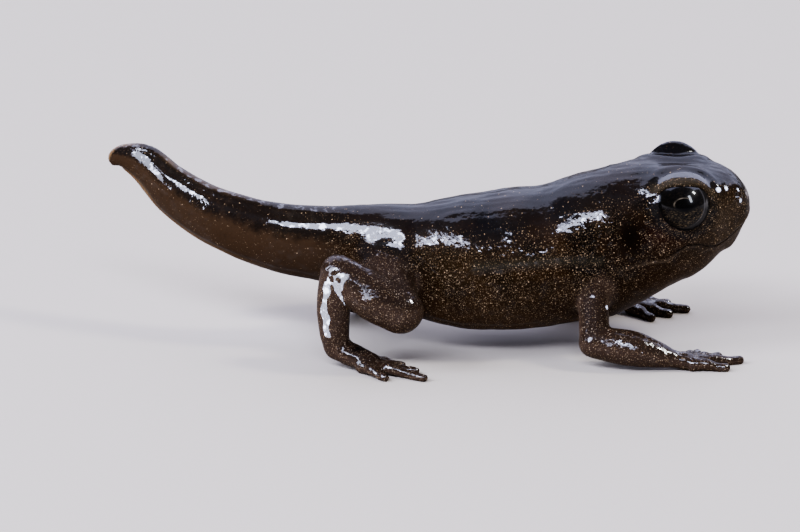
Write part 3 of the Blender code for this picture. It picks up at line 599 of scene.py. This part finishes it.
def reliefAndMasks(points, normals):
    # how far each point moves along its normal, and the masks that the skin's material reads
    plan, marks = reliefPlan, markPlan
    straight = straightenHead(points)
    (x, _, z), (sx, sy, sz), (_, ny, nz) = points.T, straight.T, normals.T
    onLimb = limbShare(points)
    body = 1 - onLimb
    tail, fin, relative = tailShares(points, body)
    offset, lidBand, lidRim, lidRidge, nostrils, lidded, farDome = faceRelief(straight, normals)
    offset -= plan["finGroove"] * tail * (1 - ease(-3.2, -1.8, x)) * hump(relative, 0.80, 0.09)

    mouthX, mouthZ = np.array(skinPlan["mouth"]).T
    above = sz - np.interp(sx, mouthX, mouthZ)
    lips = ease(8.15, 8.5, sx) * (1 - ease(2.2, 2.6, np.abs(sy))) * ease(2.6, 3.0, sz)
    throat = ease(6.2, 6.8, sx) * (1 - ease(8.2, 8.6, sx)) * body * ease(2.2, 2.5, sz)
    crease = ease(6.4, 7.0, sx) * (1 - ease(8.9, 9.3, sx)) * body * ease(2.2, 2.5, sz)
    groove = hump(above, 0, plan["mouthWidth"])
    offset -= plan["mouthDepth"] * groove * lips
    offset += plan["lip"] * lips * (hump(above, 0.12, 0.09) + 0.6 * hump(above, -0.12, 0.07))
    offset -= plan["chinInset"] * lips * ease(0.0, 0.12, -above) * (1 - ease(0.35, 1.1, -above))
    offset -= plan["throatCrease"] * crease * hump(above, 0.03, 0.05)
    offset += plan["throatEdge"] * crease * hump(above, -0.06, 0.06)
    offset += plan["throatFold"] * throat * hump(above, -0.24, 0.14)

    sideOnly = body * ease(0.35, 0.75, np.abs(ny))
    for line, depth, width in plan["folds"]:
        distance, place = polylineDistance(x, z, line)
        fade = ease(0, 0.15, place) * (1 - ease(0.85, 1, place))
        swelling = 0.55 * hump(distance, 2.1 * width, width)
        offset += sideOnly * fade * depth * (swelling - hump(distance, 0, width))
    for dipX, dipZ, reachX, reachZ, depth in plan["dips"]:
        offset -= body * depth * hump(x, dipX, reachX) * hump(z, dipZ, reachZ)
    calm = 1 - 0.6 * tail - 0.45 * onLimb - 0.6 * lidded
    offset += plan["waves"] * calm * waves(points, plan["waveLength"], 40, 7)
    offset += plan["swell"] * waves(points, 1.3, 24, 11)
    back = body * (1 - tail) * ease(0.35, 0.8, nz)
    wrinkles = waves(straight * (0.16, 1.0, 1.0), 0.27, 40, 5)
    offset += plan["backWrinkles"] * back * (1 - 0.85 * lidded) * wrinkles
    offset *= ease(0.02, 0.10, z)

    belly = body * (1 - tail) * ease(-0.1, 0.75, -nz)
    belly *= 1 - ease(2.2, 3.6, z - 0.22 * np.clip(x - 4, 0, 6))
    lip = lips * (hump(above, 0.05, 0.22) * 0.8 + 0.5 * ease(0.0, 0.2, -above))
    lip *= ease(8.2, 9.2, sx) * (0.55 + 0.45 * ease(9.2, 10.0, sx))
    # besides the pale lips, a thin lighter line just below the throat crease is a painted highlight on the
    # fold's edge
    lip += 0.8 * crease * hump(above, -0.03, 0.04) + 0.80 * body * wornAt(sx, sz, marks["pale"])
    # the lateral band follows the ridge above the flank's upper fold: a greenish tint whose lightness is
    # painted light on that ridge
    lateral, _ = polylineDistance(x, z, ((2.3, 3.10), (3.6, 3.24), (4.93, 3.30), (6.16, 3.25)))
    # drawn towards one slope along the hip, and again near the end of the tail
    slope = np.degrees(np.arcsin(np.clip(nz, -1, 1)))
    level = ease(-3.8, -3.5, x) * (1 - ease(-0.1, 0.25, x))
    level += ease(-8.5, -8.2, x) * (1 + 0.5 * ease(-7.4, -7.0, x)) * (1 - ease(-6.15, -5.9, x))
    level *= marks["levelShare"] * body * (ny < 0)
    level *= hump(slope, marks["levelSlope"], marks["levelSpread"])
    dry = np.max((
        wornAt(x, z, marks["dry"]) * ease(0.2, 0.5, -ny),
        0.95 * tail * hump(x, -5.65, 0.42) * ease(0.2, 0.5, ny),
        onLimb * wornAt(x, z, marks["dryLimb"]), 0.85 * lidBand, farDome,
    ), axis=0)
    masks = {
        "tail": tail, "fin": fin, "limb": onLimb, "belly": belly, "back": back, "lip": lip,
        "lidBand": lidBand, "lidRim": lidRim, "lidRidge": lidRidge,
        # painted shade: darkens the groove of the closed lips and the nostril pits
        "hollow": np.clip(groove * lips + nostrils, 0, 1), "band": sideOnly * hump(lateral, 0, 0.15),
        "sag": wornAround(points, marks["sag"]), "glint": nearGlints(points, straight, normals),
        "level": level, "dry": dry, "under": 1 - ease(0.08, 0.42, nz),
        "pool": (1 - back) * ease(-0.1, 0.3, -ny),
    }
    for name in ("gold", "bare", "red"):
        masks[name] = body * wornAt(x, z, marks[name])
    return offset, masks


def smoothSkin(points, edges):
    # blends the limbs into the body, then evens the whole skin by steps that don't shrink it
    degree = np.bincount(edges.ravel(), minlength=len(points)).astype(float)
    weight = blendWeights(points)[:, None]
    for _ in range(70):
        points = points + 0.5 * weight * (neighbourMean(points, edges, degree) - points)
    for _ in range(4):
        for pull in (0.5, -0.52):
            points = points + pull * (neighbourMean(points, edges, degree) - points)
    return points


def vertexNormals(mesh):
    return readRows(mesh.vertex_normals, "vector", 3)


def makeSkin():
    mesh = remeshedSkin()
    points = smoothSkin(unwarp(readRows(mesh.vertices, "co", 3)), readRows(mesh.edges, "vertices", 2, int))
    mesh.vertices.foreach_set("co", points.ravel())
    mesh.update()
    offset, masks = reliefAndMasks(points, vertexNormals(mesh))
    points = points + offset[:, None] * vertexNormals(mesh)
    points[:, 2] = np.maximum(points[:, 2], 0)
    mesh.vertices.foreach_set("co", ((points - boxCentre) * millimetre).ravel())
    for name, values in masks.items():
        mask = mesh.attributes.new(name, "FLOAT", "POINT")
        mask.data.foreach_set("value", np.asarray(values, np.float32))
    mesh.polygons.foreach_set("use_smooth", np.ones(len(mesh.polygons), bool))
    mesh.update()
    mesh.name = "skin"
    return placed("skin", mesh)


eyePlan = {
    "gazeTurn": (-0.04, 0.92, 0.38), "cornea": 0.022, "pupilWide": 0.34, "pupilHigh": 0.22,
    "pupil": (0.0008, 0.0008, 0.0018, 1), "rim": (0.26, 0.22, 0.17, 1), "gold": (0.23, 0.17, 0.10, 1),
    "black": (0.0018, 0.0018, 0.0030, 1), "blackHigh": (0.0022, 0.0022, 0.0034, 1),
    # the lower eye's grey is a painted reflection of the ground
    "groundReflectionGrey": (0.0085, 0.0078, 0.0070, 1), "veil": (0.0035, 0.0033, 0.0038, 1),
    "veilEdge": (0.075, 0.072, 0.078, 1),
}


def makeEye(side, name):
    # a ball with a slightly raised cornea; gaze holds how far forward, up and outward each point lies
    centre = sided(skinPlan["eyeCentre"], side)
    look, forward, up = eyeAxes(side, eyePlan["gazeTurn"])
    theta = np.linspace(0, 2 * math.pi, 96, endpoint=False)
    phi = np.radians(np.linspace(1.5, 178.5, 72))[:, None]
    radius = skinPlan["eyeRadius"] * (1 + eyePlan["cornea"] * np.exp(-((phi / 0.75) ** 2)))
    flat = np.ones_like(theta)
    local = np.stack((np.sin(phi) * np.cos(theta), np.sin(phi) * np.sin(theta), np.cos(phi) * flat), axis=-1)
    direction = local[..., :1] * forward + local[..., 1:2] * up + local[..., 2:] * look
    rings = centre + radius[..., None] * direction
    points, faces = closedTube(rings, centre + look * radius[0, 0], centre - look * radius[-1, 0])
    mesh = bpy.data.meshes.new(name)
    mesh.from_pydata(((bendHead(points) - boxCentre) * millimetre).tolist(), [], faces)
    gaze = np.concatenate((local.reshape(-1, 3), [(0, 0, 1), (0, 0, -1)]))
    gazes = mesh.attributes.new("gaze", "FLOAT_VECTOR", "POINT")
    gazes.data.foreach_set("vector", gaze.astype(np.float32).ravel())
    if side < 0:
        mesh.flip_normals()
    mesh.polygons.foreach_set("use_smooth", np.ones(len(mesh.polygons), bool))
    mesh.update()
    return placed(name, mesh)


def outwardVolume(piece):
    # positive when the faces point outwards
    mesh = piece.data
    mesh.calc_loop_triangles()
    corners = readRows(mesh.loop_triangles, "vertices", 3, int)
    a, b, c = readRows(mesh.vertices, "co", 3)[corners].transpose(1, 0, 2)
    return float(np.einsum("ij,ij->", a, np.cross(b, c)) / 6)


class Shader:
    # short calls for building a node tree
    def __init__(self, tree):
        self.tree = tree

    def node(self, kind, inputs=None, **settings):
        made = self.tree.nodes.new(kind)
        for key, value in settings.items():
            setattr(made, key, value)
        self.fill(made, inputs or {})
        return made

    def fill(self, made, inputs):
        for key, value in inputs.items():
            self.put(made.inputs[key], value)

    def put(self, socket, value):
        if isinstance(value, bpy.types.NodeSocket):
            self.tree.links.new(value, socket)
        else:
            socket.default_value = value

    def math(self, operation, a, b=0.0, c=0.0):
        return self.node("ShaderNodeMath", {0: a, 1: b, 2: c}, operation=operation).outputs[0]

    def times(self, a, b):
        return self.math("MULTIPLY", a, b)

    def plus(self, a, b):
        return self.math("ADD", a, b)

    def most(self, a, b):
        return self.math("MAXIMUM", a, b)

    def timesPlus(self, a, factor, b):
        return self.math("MULTIPLY_ADD", a, factor, b)

    def rest(self, share):
        return self.math("SUBTRACT", 1.0, share)

    def vector(self, operation, a, b=(0.0, 0.0, 0.0)):
        return self.node("ShaderNodeVectorMath", {0: a, 1: b}, operation=operation).outputs[0]

    def scaled(self, vector, factors):
        return self.vector("MULTIPLY", vector, factors)

    def mask(self, name):
        return self.node("ShaderNodeAttribute", attribute_name=name).outputs["Fac"]

    def ramp(self, value, low, high, start=0.0, end=1.0):
        inputs = {"Value": value, "From Min": low, "From Max": high, "To Min": start, "To Max": end}
        return self.node("ShaderNodeMapRange", inputs, interpolation_type="SMOOTHSTEP").outputs[0]

    def mix(self, factor, a, b):
        made = self.node("ShaderNodeMix", data_type="RGBA", clamp_factor=True)
        for socket, value in zip((made.inputs[0], made.inputs[6], made.inputs[7]), (factor, a, b)):
            self.put(socket, value)
        return made.outputs[2]

    def noise(self, vector, scale, detail=2.0, roughness=0.5):
        inputs = {"Vector": vector, "Scale": scale, "Detail": detail, "Roughness": roughness}
        return self.node("ShaderNodeTexNoise", inputs).outputs["Fac"]

    def cells(self, vector, scale, feature="F1"):
        return self.node("ShaderNodeTexVoronoi", {"Vector": vector, "Scale": scale}, feature=feature)

    def pulled(self, share, normal, towards):
        inputs = {0: share, 4: normal, 5: towards}
        return self.node("ShaderNodeMix", inputs, data_type="VECTOR").outputs[1]


def newMaterial(name):
    material = bpy.data.materials.new(name)
    material.use_nodes = True
    return material, material.node_tree.nodes["Principled BSDF"]


def speckGroup():
    # round specks of uneven size, one to a cell; Amount says how many cells have one
    tree = bpy.data.node_groups.new("specks", "ShaderNodeTree")
    for name, kind in (("Vector", "Vector"), ("Scale", "Float"), ("Amount", "Float"), ("Size", "Float")):
        tree.interface.new_socket(name, in_out="INPUT", socket_type="NodeSocket" + kind)
    for name in ("Speck", "Shade"):
        tree.interface.new_socket(name, in_out="OUTPUT", socket_type="NodeSocketFloat")
    s = Shader(tree)
    given = s.node("NodeGroupInput").outputs
    wobble = s.node("ShaderNodeTexNoise", {"Vector": given["Vector"], "Scale": s.times(given["Scale"], 1.7)})
    moved = s.vector("ADD", given["Vector"], s.scaled(wobble.outputs["Color"], (0.05, 0.05, 0.05)))
    cell = s.cells(moved, given["Scale"])
    parts = s.node("ShaderNodeSeparateColor", {0: cell.outputs["Color"]}).outputs
    radius = s.times(given["Size"], s.ramp(parts[0], 0.0, 1.0, 0.45, 1.0))
    inside = s.ramp(s.math("DIVIDE", cell.outputs["Distance"], radius), 0.72, 1.08, 1.0, 0.0)
    present = s.math("LESS_THAN", parts[1], given["Amount"])
    out = s.node("NodeGroupOutput")
    s.put(out.inputs["Speck"], s.times(inside, present))
    s.put(out.inputs["Shade"], parts[2])
    return tree


specks = speckGroup()


skinLook = {
    "dark": (0.0023, 0.0011, 0.0004, 1), "brown": (0.0112, 0.0047, 0.0011, 1),
    "limb": (0.0155, 0.0090, 0.0060, 1), "limbUnder": (0.0350, 0.0210, 0.0142, 1),
    "belly": (0.0300, 0.0150, 0.0060, 1), "amber": (0.0150, 0.0076, 0.0020, 1),
    "red": (0.0150, 0.0034, 0.0012, 1), "band": (0.0150, 0.0125, 0.0074, 1),
    "tailDark": (0.0060, 0.0036, 0.0022, 1), "tailBrown": (0.0295, 0.0160, 0.0078, 1),
    # lip colours the pale lips, and also a painted highlight along the throat crease
    "fin": (0.110, 0.066, 0.031, 1), "lip": (0.030, 0.0205, 0.0122, 1), "rim": (0.0055, 0.005, 0.0048, 1),
    # the hollow colour is painted shade for the lips' groove and the nostril pits
    "slate": (0.0030, 0.0030, 0.0038, 1), "hollow": (0.0025, 0.002, 0.002, 1),
    # the gold dots, and the finer dust between them
    "goldDark": (0.060, 0.038, 0.020, 1), "goldPale": (0.26, 0.180, 0.102, 1),
    "lidGold": (0.030, 0.0225, 0.0135, 1), "limbPale": (0.23, 0.182, 0.130, 1),
    "underPale": (0.42, 0.31, 0.195, 1), "dustDark": (0.020, 0.0115, 0.0058, 1),
    "dustPale": (0.120, 0.077, 0.042, 1),
    "speckScale": 15.5, "speckSize": 0.34, "dustScale": 24.0, "dustSize": 0.36,
    # how many waves or cells of each pattern there are to a millimetre
    "blotches": 0.9, "tailMottle": 2.6, "patches": 0.8, "grain": 13.0, "wrinkles": (0.7, 8.0, 8.0),
}

# the wet film: how its slope is tilted and drawn, its bumps, drops, pools and gaps, and how it shines
filmPlan = {
    "sagTilt": 0.62, "ridgeTilt": 0.75, "levelOut": (0.848, 0.848, 0.0), "levelUp": (0.0, 0.0, 0.530),
    "glintSlope": (-0.09, -0.838, 0.537), "glintDraw": 0.97, "bump": 0.5e-5, "bumpStrength": 0.5,
    "grain": 0.30, "drops": 6.5, "dropHeight": 1.5, "pools": 4.6, "gaps": 7.0, "thin": 0.24,
    "roughness": 0.045, "backRoughness": 0.06, "refraction": 1.9,
}


def layered(s, base, rows):
    # lays colours over each other, each by its mask and share
    for mask, share, colour in rows:
        base = s.mix(s.times(mask, share), base, skinLook[colour])
    return base


def skinMaterial():
    material, shader = newMaterial("wetToadSkin")
    s = Shader(material.node_tree)
    look, film = skinLook, filmPlan
    mm = s.scaled(s.node("ShaderNodeTexCoord").outputs["Object"], (1000.0, 1000.0, 1000.0))
    tail, fin, limb, belly, lip, lidBand, lidRim, lidRidge, hollow, back = (
        s.mask(name) for name in "tail fin limb belly lip lidBand lidRim lidRidge hollow back".split()
    )
    gold, bare, red, band, under, dry, sag, level, glint, pool = (
        s.mask(name) for name in "gold bare red band under dry sag level glint pool".split()
    )
    base = s.mix(s.ramp(s.noise(mm, look["blotches"], 3.0), 0.36, 0.66), look["dark"], look["brown"])
    base = layered(s, base, (
        (limb, 0.75, "limb"), (s.times(limb, under), 0.8, "limbUnder"), (belly, 0.8, "belly"),
        # band: greenish tint along the flank's fold ridge, made lighter as painted light on the ridge
        (red, 0.7, "red"), (gold, 0.6, "amber"), (bare, 0.85, "dark"), (band, 0.8, "band"),
    ))
    mottle = s.timesPlus(s.noise(mm, look["tailMottle"], 5.0, 0.70), 1.5, -0.55)
    tailShade = s.ramp(s.plus(s.times(under, 0.75), mottle), 0.15, 0.95)
    base = s.mix(tail, base, s.mix(tailShade, look["tailDark"], look["tailBrown"]))
    base = layered(s, base, (
        # the rim of the lower lid is a painted highlight, lighter grey along its edge
        (fin, 1.0, "fin"), (lip, 1.0, "lip"), (lidRim, 0.8, "rim"), (back, 0.6, "slate"),
        (lidBand, 0.7, "lidGold"),
    ))

    # gold dots and dust: fewer on the tail, the back and the bare patches
    amount = s.timesPlus(s.ramp(s.noise(mm, look["patches"]), 0.32, 0.62), 0.30, 0.80)
    amount = s.math("SUBTRACT", s.plus(amount, s.times(gold, 0.35)), s.times(bare, 0.90))
    amount = s.times(amount, s.rest(s.times(tail, 0.88)))
    amount = s.times(amount, s.rest(s.times(back, 0.94)))
    amount = s.most(s.plus(amount, s.times(lidBand, 0.9)), 0.0)
    coarse, fine = (
        s.node("ShaderNodeGroup", {"Vector": mm, "Scale": look[scale], "Amount": amount, "Size": look[size]},
               node_tree=specks).outputs
        for scale, size in (("speckScale", "speckSize"), ("dustScale", "dustSize"))
    )
    bright = s.most(s.times(lidBand, 0.75), s.times(limb, 0.30))
    bright = s.most(s.math("POWER", coarse["Shade"], 1.9), bright)
    pale = s.mix(s.times(under, 0.6), s.mix(limb, look["goldPale"], look["limbPale"]), look["underPale"])
    dust = s.mix(fine["Shade"], look["dustDark"], look["dustPale"])
    dust = s.mix(s.times(under, 0.35), dust, look["goldPale"])
    colour = s.mix(s.times(fine["Speck"], 0.8), base, dust)
    colour = s.mix(s.times(coarse["Speck"], 0.9), colour, s.mix(bright, look["goldDark"], pale))
    # painted shade in the groove of the closed lips and in the nostril pits
    colour = s.mix(s.times(hollow, 0.85), colour, look["hollow"])

    # the skin's own grain and wrinkles, then the film's, which has drops besides
    calm = s.timesPlus(limb, 1.0, s.plus(s.rest(s.times(tail, 0.7)), s.times(dry, 2.2)))
    grain = s.ramp(s.cells(mm, look["grain"], "SMOOTH_F1").outputs["Distance"], 0.0, 0.75, 1.0, 0.0)
    grain = s.times(grain, calm)
    wrinkle = s.times(s.noise(s.scaled(mm, look["wrinkles"]), 1.0, 3.0), s.times(back, 2.6))
    drawn = s.ramp(glint, 0.35, 0.75)
    drops = s.ramp(s.noise(mm, film["drops"], 2.0, 0.4), 0.30, 0.70)
    drops = s.times(drops, s.times(calm, s.rest(drawn)))
    filmHeight = s.plus(s.timesPlus(grain, film["grain"], s.times(drops, film["dropHeight"])), wrinkle)
    bumpSize = {"Strength": film["bumpStrength"], "Distance": film["bump"]}
    bump, filmNormal = (
        s.node("ShaderNodeBump", {**bumpSize, "Height": height}).outputs[0]
        for height in (s.plus(grain, wrinkle), filmHeight)
    )
    lift = s.timesPlus(sag, film["sagTilt"], s.times(lidRidge, film["ridgeTilt"]))
    tilt = s.node("ShaderNodeCombineXYZ", {"Z": lift}).outputs[0]
    filmNormal = s.vector("NORMALIZE", s.vector("ADD", filmNormal, tilt))
    # along the tail and hip the film's slope is drawn towards 32 degrees above the level
    outward = s.vector("NORMALIZE", s.scaled(filmNormal, (1.0, 1.0, 0.0)))
    leaning = s.vector("ADD", s.scaled(outward, film["levelOut"]), film["levelUp"])
    filmNormal = s.pulled(level, filmNormal, leaning)
    # at the glints it is drawn towards one slope that faces between the camera and the key light
    filmNormal = s.pulled(s.times(drawn, film["glintDraw"]), filmNormal, film["glintSlope"])
    filmNormal = s.vector("NORMALIZE", filmNormal)

    # the film is broken where it is dry or looks down, and shines most in small pools
    broken = s.plus(s.timesPlus(limb, 0.28, dry), s.times(s.noise(mm, film["gaps"]), 0.9))
    wet = s.times(s.rest(s.ramp(broken, 0.80, 1.02)), s.rest(s.times(under, 0.90)))
    wet = s.most(wet, s.most(sag, drawn))
    pools = s.times(s.ramp(s.noise(mm, film["pools"]), 0.52, 0.64), pool)
    pools = s.most(s.most(pools, s.times(lidRidge, 0.72)), s.ramp(glint, 0.80, 1.0, 0.0, 0.9))
    wet = s.times(wet, s.timesPlus(pools, 1 - film["thin"], film["thin"]))
    s.fill(shader, {
        "Base Color": colour, "Roughness": 0.45, "Specular IOR Level": 0.03, "IOR": 1.4,
        "Subsurface Weight": s.timesPlus(fin, 0.35, 0.03), "Subsurface Scale": 0.0003,
        "Subsurface Radius": (1.0, 0.5, 0.25), "Coat Weight": wet, "Coat IOR": film["refraction"],
        "Coat Roughness": s.timesPlus(back, film["backRoughness"], film["roughness"]),
        "Normal": bump, "Coat Normal": filmNormal,
    })
    return material


def eyeMaterial():
    material, shader = newMaterial("blackGoldEye")
    s = Shader(material.node_tree)
    plan = eyePlan
    gaze = s.node("ShaderNodeAttribute", attribute_name="gaze").outputs["Vector"]
    forward, up, out = s.node("ShaderNodeSeparateXYZ", {0: gaze}).outputs

    def ringRadius(across, along):
        return s.math("SQRT", s.plus(s.math("POWER", across, 2.0), s.math("POWER", along, 2.0)))

    # the pupil is a flat oval: at its edge the squares of forward / pupilWide and up / pupilHigh add to 1
    across = s.math("ABSOLUTE", s.math("DIVIDE", forward, plan["pupilWide"]))
    along = s.math("ABSOLUTE", s.math("DIVIDE", s.math("SUBTRACT", up, 0.02), plan["pupilHigh"]))
    oval = ringRadius(across, along)
    rim = s.times(s.ramp(oval, 0.98, 1.06), s.ramp(oval, 1.10, 1.24, 1.0, 0.0))
    rim = s.times(rim, s.times(s.ramp(up, -0.10, 0.08), s.ramp(forward, 0.10, 0.28, 1.0, 0.0)))
    broken = s.timesPlus(s.ramp(s.noise(gaze, 4.0, 3.0), 0.40, 0.60), 0.5, 0.2)
    # gold flecks and streaks below the pupil
    flecks = s.ramp(s.noise(s.scaled(gaze, (1.0, 2.2, 1.0)), 11.0, 4.0, 0.65), 0.55, 0.66)
    streaks = s.ramp(s.noise(s.scaled(gaze, (0.7, 3.6, 0.7)), 17.0, 3.0, 0.6), 0.54, 0.68)
    reach = s.times(s.ramp(oval, 1.1, 1.4), s.ramp(out, 0.50, 0.74))
    lower = s.times(s.ramp(up, -0.30, -0.02, 1.0, 0.10), reach)
    gold = s.times(s.most(flecks, s.times(streaks, 0.6)), lower)
    # below the eye's horizon the colour is painted greyer, a painted reflection of the ground; above it is
    # black
    grey = s.mix(s.ramp(up, -0.22, -0.02), plan["groundReflectionGrey"], plan["blackHigh"])
    colour = s.mix(s.ramp(s.noise(gaze, 2.2), 0.35, 0.65), plan["black"], grey)
    colour = s.mix(s.times(gold, 0.75), colour, plan["gold"])
    colour = s.mix(s.times(rim, broken), colour, plan["rim"])
    colour = s.mix(s.ramp(oval, 0.93, 1.02, 1.0, 0.0), colour, plan["pupil"])
    # a thin grey lid shows as a crescent at the front and below
    veil = ringRadius(s.plus(forward, 0.13), s.math("SUBTRACT", up, 0.03))
    edgeLine = s.times(s.ramp(veil, 0.84, 0.865), s.ramp(veil, 0.875, 0.905, 1.0, 0.0))
    edgeLine = s.times(edgeLine, s.ramp(forward, 0.1, 0.8))
    colour = s.mix(s.times(s.ramp(veil, 0.86, 0.89), 0.7), colour, plan["veil"])
    colour = s.mix(s.times(edgeLine, 0.6), colour, plan["veilEdge"])
    s.fill(shader, {
        "Base Color": colour, "Roughness": 0.28, "Specular IOR Level": 0.10, "IOR": 1.4,
        "Coat Weight": s.ramp(up, -0.20, 0.06, 0.06, 1.0), "Coat Roughness": 0.0, "Coat IOR": 1.36,
    })
    return material


skin = makeSkin()
skin.data.materials.append(skinMaterial())
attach(skin, "root")
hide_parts(*[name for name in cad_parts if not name.startswith("eye_")])
print("skin", len(skin.data.vertices), "points", len(skin.data.polygons), "faces")
print("skin volume", outwardVolume(skin) * 1e9, "cubic millimetres")

eyeSkin = eyeMaterial()
eyes = []
for side, name, node in ((-1, "eyeballRight", "eye_right"), (1, "eyeballLeft", "eye_left")):
    eye = makeEye(side, name)
    eye.data.materials.append(eyeSkin)
    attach(eye, "root")
    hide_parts(node)
    eyes.append(eye)
    print(name, len(eye.data.polygons), "faces, volume", outwardVolume(eye) * 1e9)


stagePlan = {"halfSize": 2.0, "colour": (0.352, 0.312, 0.262, 1), "roughness": 0.8}


def makeFloor():
    half = stagePlan["halfSize"]
    mesh = bpy.data.meshes.new("floor")
    corners = [(-half, -half, 0), (half, -half, 0), (half, half, 0), (-half, half, 0)]
    mesh.from_pydata(corners, [], [(0, 1, 2, 3)])
    material, shader = newMaterial("paleFloor")
    shader.inputs["Base Color"].default_value = stagePlan["colour"]
    shader.inputs["Roughness"].default_value = stagePlan["roughness"]
    mesh.materials.append(material)
    floor = placed("floor", mesh)


def aimed(thing, place, target):
    thing.location = place
    direction = target - np.array(place)
    yaw = math.atan2(-direction[0], direction[1])
    pitch = math.atan2(direction[2], math.hypot(direction[0], direction[1])) + math.pi / 2
    thing.rotation_euler = (pitch, 0.0, yaw)


lightPlan = {
    # azimuth from the camera's side and elevation in degrees, distance, width and height in metres,
    # brightness, colour
    "key": (-15, 46, 0.40, 0.35, 0.080, 35.0, (0.72, 0.77, 1.0)),
    "sky": (180, 45, 0.60, 1.20, 0.90, 3.3, (0.68, 0.71, 1.0)),
    "front": (84, 48, 0.40, 0.055, 0.070, 80.0, (1.0, 1.0, 1.0)),
    "tail": (-71, 36, 0.40, 0.16, 0.25, 26.0, (0.72, 0.77, 1.0)),
    "catch": (42, 37, 0.40, 0.07, 0.20, 26.0, (0.84, 0.88, 1.0)),
}
worldPlan = {"colour": (0.90, 0.78, 0.66, 1), "strength": 0.16}


def makeLights():
    middle = np.array((0.0, 0.0, 0.003))
    # the key and tail lights leave out the eyes, which have a small one of their own
    lightsOf = {name: bpy.data.collections.new("litBy" + name.title()) for name in ("key", "tail", "catch")}
    for name, collection in lightsOf.items():
        for thing in eyes if name == "catch" else (skin, bpy.data.objects["floor"]):
            collection.objects.link(thing)
    for name, (azimuth, elevation, distance, width, height, brightness, colour) in lightPlan.items():
        light = bpy.data.lights.new(name, "AREA")
        light.shape = "RECTANGLE"
        light.size, light.size_y = width, height
        light.energy = brightness * math.pi * width * height
        light.color = colour
        lamp = placed(name, light)
        a, e = math.radians(azimuth), math.radians(elevation)
        away = np.array((math.sin(a) * math.cos(e), -math.cos(a) * math.cos(e), math.sin(e)))
        aimed(lamp, middle + distance * away, middle)
        if name in lightsOf:
            lamp.light_linking.receiver_collection = lightsOf[name]
    world = bpy.data.worlds.new("studio")
    world.use_nodes = True
    background = world.node_tree.nodes["Background"].inputs
    background["Color"].default_value = worldPlan["colour"]
    background["Strength"].default_value = worldPlan["strength"]
    bpy.context.scene.world = world


# degrees and millimetres; perMillimetre and width are pixels, the first at the middle of the animal
cameraPlan = {"elevation": 18.0, "distance": 170.0, "perMillimetre": 32.0, "aimHeight": 2.475, "width": 800.0,
              "sensor": 36.0}


def makeCamera():
    elevation = math.radians(cameraPlan["elevation"])
    distance = cameraPlan["distance"]
    camera = bpy.data.cameras.new("camera")
    camera.sensor_width = cameraPlan["sensor"]
    camera.lens = cameraPlan["sensor"] * distance * cameraPlan["perMillimetre"] / cameraPlan["width"]
    camera.clip_start, camera.clip_end = 0.01, 20.0
    holder = placed("camera", camera)
    height = cameraPlan["aimHeight"] + distance * math.sin(elevation)
    place = np.array((0.0, -distance * math.cos(elevation), height))
    holder.location = (place - boxCentre) * millimetre
    holder.rotation_euler = (math.pi / 2 - elevation, 0.0, 0.0)
    bpy.context.scene.camera = holder


makeFloor()
makeLights()
makeCamera()
bpy.context.scene.view_settings.look = "AgX - Medium High Contrast"
print("stage, lights and camera done")
